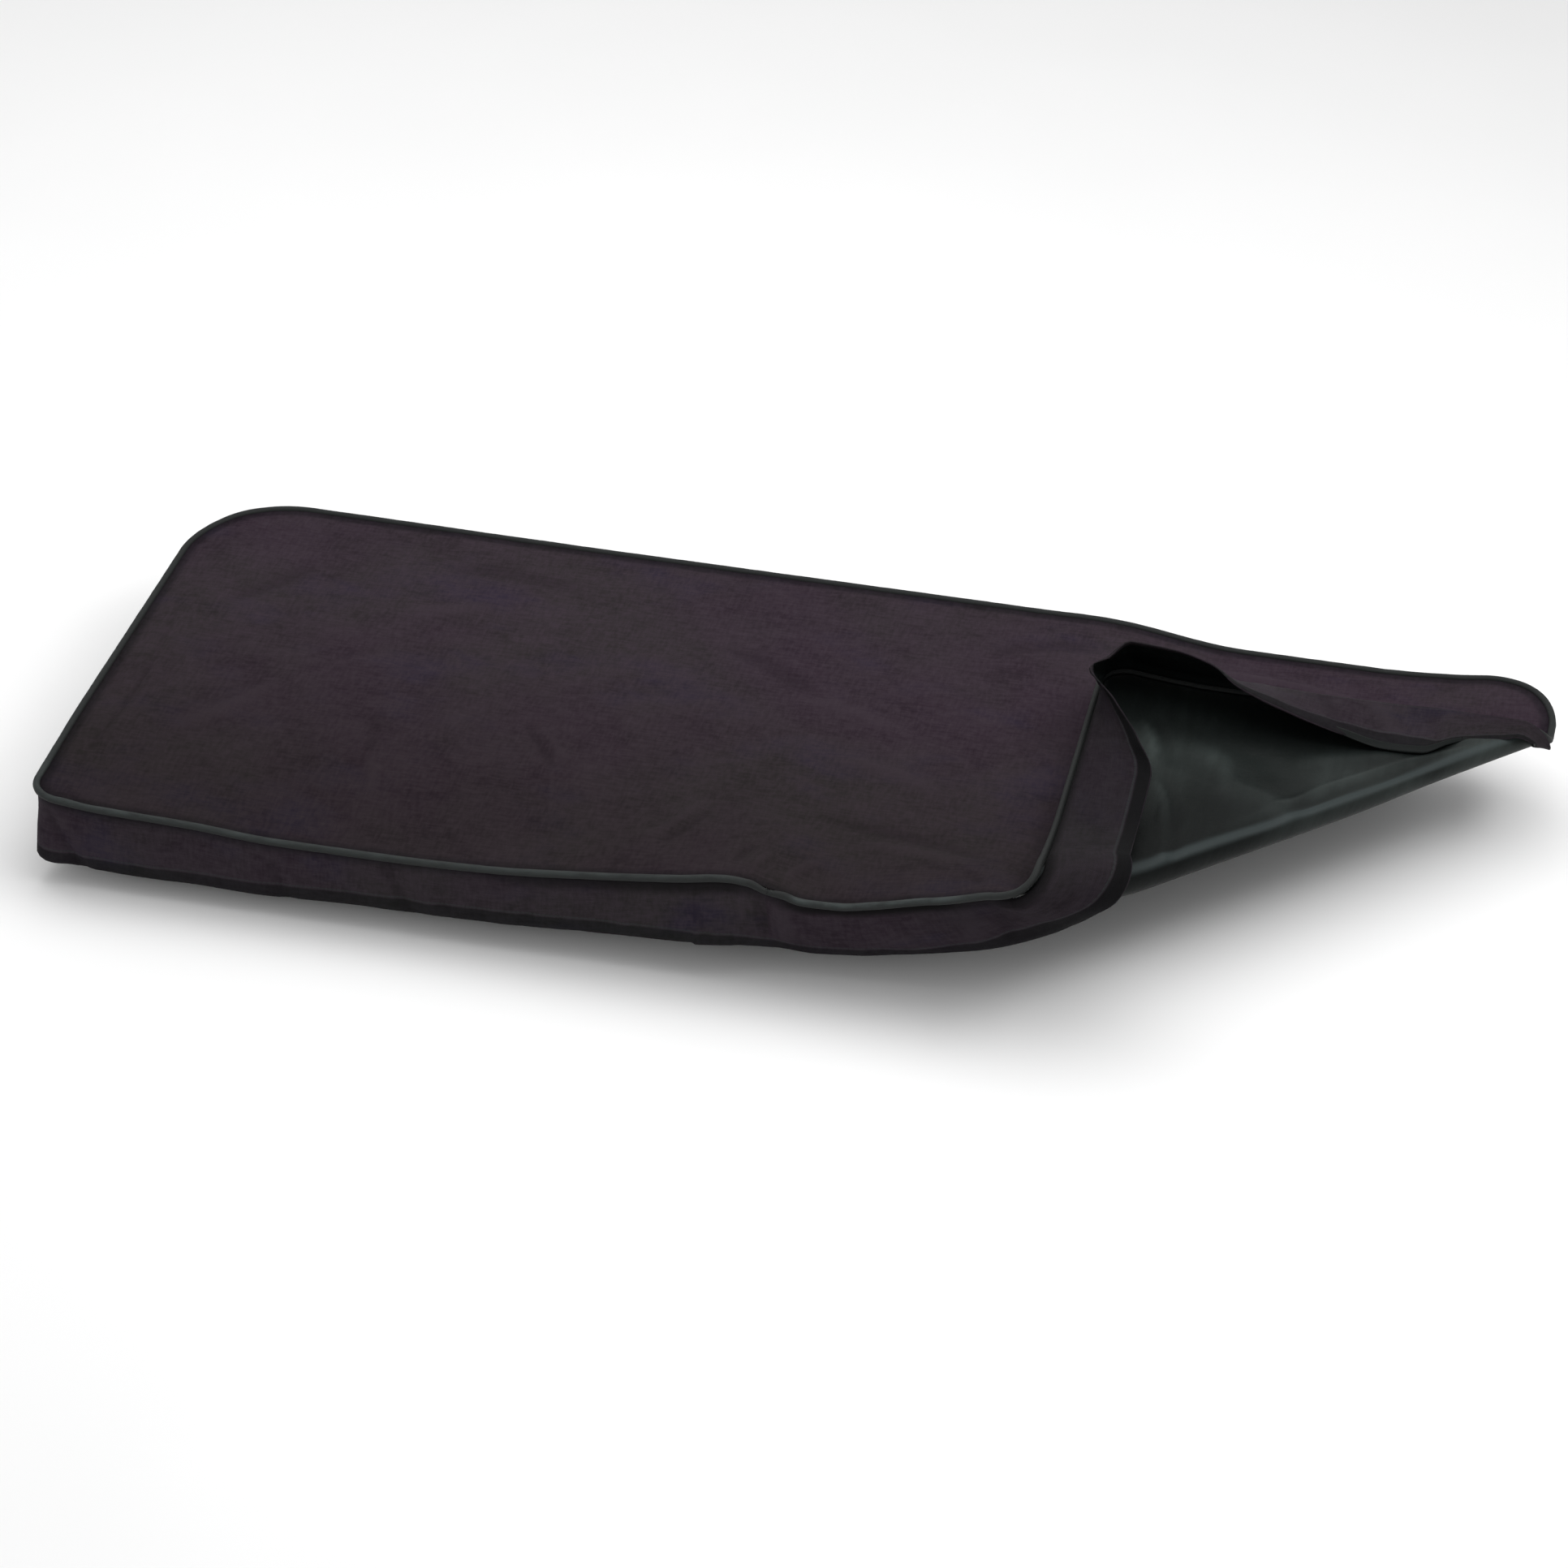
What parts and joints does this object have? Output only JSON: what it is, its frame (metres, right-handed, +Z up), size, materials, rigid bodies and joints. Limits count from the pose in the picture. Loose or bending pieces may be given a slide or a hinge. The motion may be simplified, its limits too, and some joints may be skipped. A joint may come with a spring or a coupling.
{
  "type": "keyboard dust cover",
  "caption": "Hollow fitted dust cover for an electric keyboard: coated cloth panel, piped seam and hanging skirt, one front corner turned back over the top.",
  "frame": {"origin": "on the flat face that the cover rests on, under the middle of the panel", "axes": "+X along the length towards the turned-back corner's end, +Y from the front edge to the back edge, +Z up"},
  "size_m": [1.1754, 0.479, 0.15],
  "materials": {
    "panel_cloth": "matt plain weave outside, satin grey-green coating inside",
    "skirt_cloth": "matt plain weave outside, satin grey-green coating inside",
    "piping_cord": "satin"
  },
  "bodies": {
    "root": {"top_panel": "panel_cloth", "skirt": "skirt_cloth", "piping": "piping_cord"}
  },
  "joints": []
}
